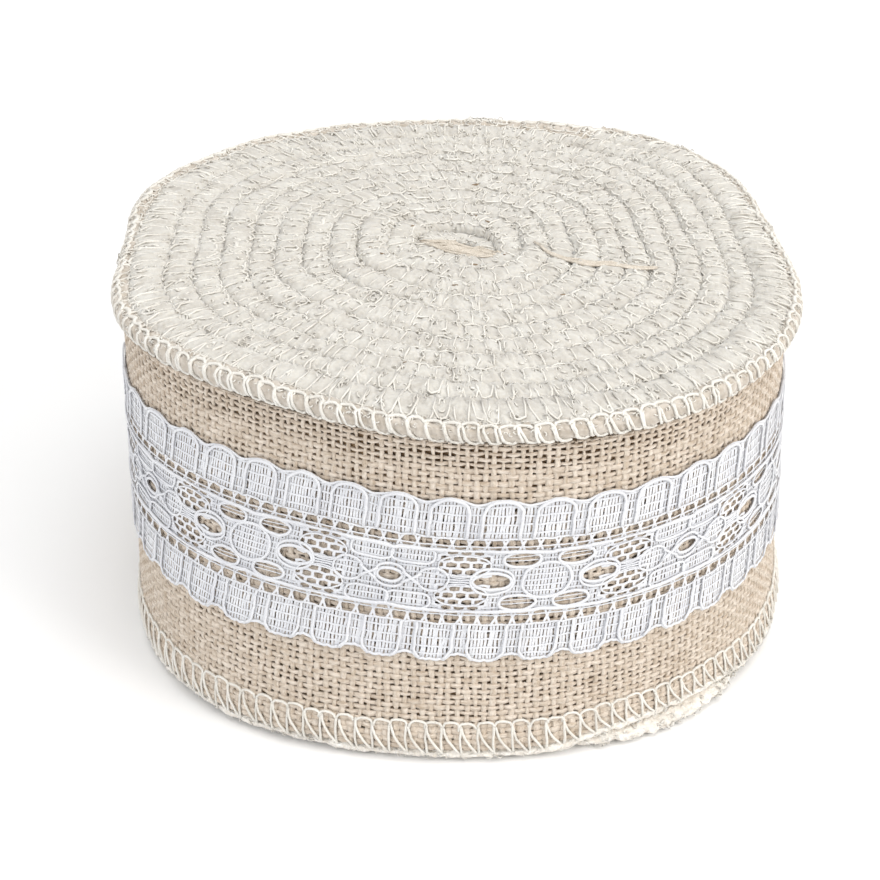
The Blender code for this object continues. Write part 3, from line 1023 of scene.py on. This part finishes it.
def chords(fixed, vertical, kinds):
    """Where a straight thread crosses rings of the given kinds: (start, end) pairs."""
    found = []
    for ring in rings:
        if ring.filled not in kinds:
            continue
        if vertical:
            share = abs(fixed - ring.across) / ring.half_width
            middle, half = ring.up, ring.half_height
        else:
            share = abs(fixed - ring.up) / ring.half_height
            middle, half = ring.across, ring.half_width
        if share < 1.0:
            reach = half * (1.0 - share ** ring.power) ** (1.0 / ring.power)
            found.append((middle - reach, middle + reach))
    return sorted(found)


def outside(start, end, cuts):
    """The runs of start..end that no cut covers."""
    runs = []
    for cut_start, cut_end in cuts:
        if cut_start > start:
            runs.append((start, min(cut_start, end)))
        start = max(start, cut_end)
    if start < end:
        runs.append((start, end))
    return [(a, b) for a, b in runs if b - a > 0.25]


lace_white = yarn_material(
    "lace thread", (226, 227, 230), (213, 214, 219), 0.005, 0.0003, 0.00008, 0.80, 0.3
)
lace_length = ROUND / MM
lace_stop = lace_length - LACE_END
net_at = np.arange(LACE_END, lace_stop, NET_PITCH)
net_at = net_at + draws.normal(0.0, 0.03, len(net_at))


def straight(start, end, count):
    """Evenly spaced chart points between two points."""
    share = np.linspace(0.0, 1.0, count)[:, None]
    return np.asarray(start) * (1.0 - share) + np.asarray(end) * share


# Uprights of the two borders, then those of the middle band, cut at its openings.
border_uprights = []
for across in net_at:
    border_uprights.append(straight((across, TOP_BASE, 0.0), (across, upper_edge(across), 0.0), 5))
    border_uprights.append(straight((across, lower_edge(across), 0.0), (across, FOOT_BASE, 0.0), 5))
border_uprights = np.array(border_uprights)
border_uprights[..., 0] += draws.normal(0.0, 0.035, border_uprights.shape[:2])
band_uprights = []
for across in net_at:
    for start, end in outside(-BAND, BAND, chords(across, True, ("open", "coarse"))):
        band_uprights.append(straight((across, start, 0.0), (across, end, 0.0), 4))
band_uprights = np.array(band_uprights)

# Cross lines of the borders follow the whole turn; those of the band stop at its openings.
BORDER_LINES = (8.1, 9.6, 11.1, 12.5, -8.6, -10.1, -11.6, -12.8)
BAND_LINES = np.arange(-4.65, 4.7, 0.93)
line_at = np.arange(LACE_END, lace_stop, 0.75)
cross_lines = []
for up in BORDER_LINES:
    line = np.zeros((len(line_at), 3))
    line[:, 0] = line_at
    line[:, 1] = up + wander(draws, 1, line_at / lace_length, 200, 0.12)[0]
    line[:, 2] = 0.4
    cross_lines.append(line)
cross_runs = []
for up in BAND_LINES:
    cuts = chords(up, False, ("open", "coarse"))
    for start, end in outside(LACE_END, lace_stop, cuts):
        pieces = max(1, round((end - start) / 3.0))
        marks = np.linspace(start, end, pieces + 1)
        for a, b in zip(marks, marks[1:]):
            cross_runs.append(straight((a, up, 0.4), (b, up, 0.4), 4))

# The fans' open ground: waving lines with short bars between them, staggered row by row.
FAN_ROWS = (0.85, 2.0, 3.15, 4.25, 5.15)
FAN_BAR = 1.95
FAN_REACH = 4.2
fan_centres = [ring.across for ring in rings if ring.filled == "coarse" and ring.up > 0.0]
fan_lines = []
fan_bars = []
for centre in fan_centres:
    for side in SIDES_OF_BAND:
        for row, up in enumerate(FAN_ROWS):
            west, east = centre - FAN_REACH, centre + FAN_REACH
            line = straight((west, side * up, 0.6), (east, side * up, 0.6), 9)
            line[:, 1] += 0.10 * side * (-1.0) ** (np.arange(9) + row)
            fan_lines.append(line)
        for row, (low, high) in enumerate(zip(FAN_ROWS, FAN_ROWS[1:])):
            for step in range(-2, 3):
                across = centre + FAN_BAR * (step + 0.5 * (row % 2))
                if abs(across - centre) < 4.1:
                    fan_bars.append(straight((across, side * low, 0.6), (across, side * high, 0.6), 3))
petal_threads = []
for ring in rings:
    if ring.filled == "open" and ring.up:
        for rise in (-0.30, 0.32):
            up = ring.up + rise
            petal_threads.append(
                straight((ring.across - 2.4, up, 0.5), (ring.across + 2.4, up + 0.15, 0.5), 4)
            )

# Ladders: pairs of slanting bars that cross between the borders and the band.
bars = []
for across in np.arange(LACE_END + 1.0, lace_stop - 1.0, SCALLOP / 3.0):
    for low_edge, high_edge in ((BAND, TOP_BASE), (FOOT_BASE, -BAND)):
        for lean in (-0.42, 0.42):
            bars.append(straight((across - lean, low_edge, 0.8), (across + lean, high_edge, 0.8), 3))
net_parts = []
for lines, half in (
    (border_uprights, NET_HALF),
    (band_uprights, NET_HALF),
    (cross_lines, NET_HALF * 0.75),
    (cross_runs, NET_HALF * 0.75),
    (fan_lines, NET_HALF * 1.05),
    (fan_bars, NET_HALF * 1.25),
    (petal_threads, NET_HALF * 0.4),
    (bars, NET_HALF * 0.95),
):
    net_parts.append(sweep(lace_points(np.array(lines)), half, NET_HALF * 0.45, 3, phase=0.25))
lace_net = add_piece("lace_net", wrapped(joined(net_parts)), lace_white, smooth=False)
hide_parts("lace_trim")

# Cords: the outlines of scallops, rings and band, laid over the net.
cord_parts = []
fine_at = np.arange(LACE_END, lace_stop, 0.5)


def long_cord(up, half, out=1.2):
    """A cord that runs the whole way round at heights given for each point of fine_at."""
    line = np.stack((fine_at, np.broadcast_to(up, fine_at.shape), np.full(fine_at.shape, out)), -1)
    cord_parts.append(sweep(lace_points(line[None]), half, half * 0.45, 4))


long_cord(upper_edge(fine_at), CORD_HALF * 0.80)
long_cord(lower_edge(fine_at), CORD_HALF * 0.90)
long_cord(TOP_BASE + wander(draws, 1, fine_at / lace_length, 300, 0.12)[0], CORD_HALF * 0.65)
long_cord(FOOT_BASE + wander(draws, 1, fine_at / lace_length, 300, 0.12)[0], CORD_HALF * 0.65)
for side in SIDES_OF_BAND:
    arches = np.abs(np.sin((fine_at - FLOWER_AT) * math.pi / HALF)) ** 0.35
    to_fan = np.abs(np.abs((fine_at - FLOWER_AT + HALF) % REPEAT - HALF) - FAN)
    thick = CORD_HALF * (1.15 - 0.55 * np.exp(-((to_fan / 3.2) ** 2)))
    long_cord(side * (BAND - 0.50 + 0.50 * arches), thick, 2.0)
    long_cord(side * LADDER, CORD_HALF * 0.45)
centres = FLOWER_AT + SCALLOP * np.arange(-SCALLOPS, SCALLOPS)
first, last = LACE_END + ARCH_HALF, lace_stop - ARCH_HALF
centres = centres[(centres > first) & (centres < last)]
turn = np.linspace(math.pi, 0.0, 13)
crown = np.full((13, 3), 1.9)
crown[:, 0] = ARCH_HALF * np.cos(turn)
crown[:, 1] = ARCH_SHOULDER + (CROWN - 0.15 - ARCH_SHOULDER) * np.sin(turn) ** (2.0 / ARCH_POWER)
post = straight((-ARCH_HALF, TOP_BASE, 1.7), (-ARCH_HALF, ARCH_SHOULDER - 0.5, 1.7), 5)
arch = np.concatenate((post, crown, post[::-1] * (-1.0, 1.0, 1.0)))
panel_side = straight((2.75, FOOT_BASE, 1.7), (2.75, -12.0, 1.7), 6)
panel_foot = np.array(((2.6, -12.5, 1.8), (2.2, -13.1, 1.8), (1.7, FOOT_CROWN + 0.15, 1.8)))
panel_side = np.concatenate((panel_side, panel_foot))
arches = np.repeat(arch[None], len(centres), axis=0)
arches[..., 0] += centres[:, None]
cord_parts.append(sweep(lace_points(arches), CORD_HALF * 1.05, CORD_HALF * 0.4, 4))
for side in SIDES_OF_BAND:
    edges = np.repeat(panel_side[None] * (side, 1.0, 1.0), len(centres), axis=0)
    edges[..., 0] += centres[:, None]
    cord_parts.append(sweep(lace_points(edges), CORD_HALF * 0.95, CORD_HALF * 0.4, 4))
turn = np.linspace(0.0, 2.0 * math.pi, 24, endpoint=False)


def ring_cords(shapes, half):
    """Closed cords: one for each (across, up, half_width, half_height, power)."""
    across, up, half_width, half_height, power = (np.array(v)[:, None] for v in zip(*shapes))
    wide = np.sign(np.cos(turn)) * np.abs(np.cos(turn)) ** (2.0 / power)
    tall = np.sign(np.sin(turn)) * np.abs(np.sin(turn)) ** (2.0 / power)
    out = np.full((len(shapes), len(turn)), 1.5)
    loops = np.stack((across + half_width * wide, up + half_height * tall, out), axis=-1)
    cord_parts.append(sweep(lace_points(loops), half, CORD_HALF * 0.45, 4, closed=True))


for cord in sorted({ring.cord for ring in rings if ring.cord > 0.0}):
    ring_cords([ring[:5] for ring in rings if ring.cord == cord], CORD_HALF * cord)
aprons = [ring for ring in rings if ring.apron > 0.0]
outer_loops = []
for ring in aprons:
    wider = ring.half_width + 0.5 * ring.apron
    taller = ring.half_height + 1.25 * ring.apron
    outer_loops.append((ring.across, ring.up, wider, taller, 2.1))
ring_cords(outer_loops, CORD_HALF * 0.85)
fan_loops = []
for centre in fan_centres:
    fan_loops += [(centre, side * 2.55, 3.9, 1.75, 2.2) for side in SIDES_OF_BAND]
ring_cords(fan_loops, CORD_HALF * 0.5)

# Links: crossed cords between a small opening and its circles, a bow from circle to eye.
links = []
bows = []
for ring in rings:
    if ring.filled == "open" and ring.half_width == SMALL_EYE:
        for side in SIDES_OF_BAND:
            for lean in SIDES_OF_BAND:
                start = (ring.across + side * 1.9, -0.95 * lean, 2.4)
                end = (ring.across + side * 4.7, 0.95 * lean, 2.4)
                links.append(straight(start, end, 5))
            for rise in (-0.75, -0.25, 0.25, 0.75):
                start = (ring.across + side * (CIRCLE + 2.2), rise, 1.2)
                end = (ring.across + side * (HALF - EYE - 2.9), rise, 1.2)
                bow = straight(start, end, 5)
                bow[:, 1] *= np.array((1.1, 0.8, 0.65, 0.8, 1.1))
                bows.append(bow)
cord_parts.append(sweep(lace_points(np.array(links)), CORD_HALF * 0.8, CORD_HALF * 0.7, 4))
cord_parts.append(sweep(lace_points(np.array(bows)), CORD_HALF * 0.45, CORD_HALF * 0.6, 4))
lace_cords = add_piece("lace_cords", wrapped(joined(cord_parts)), lace_white)
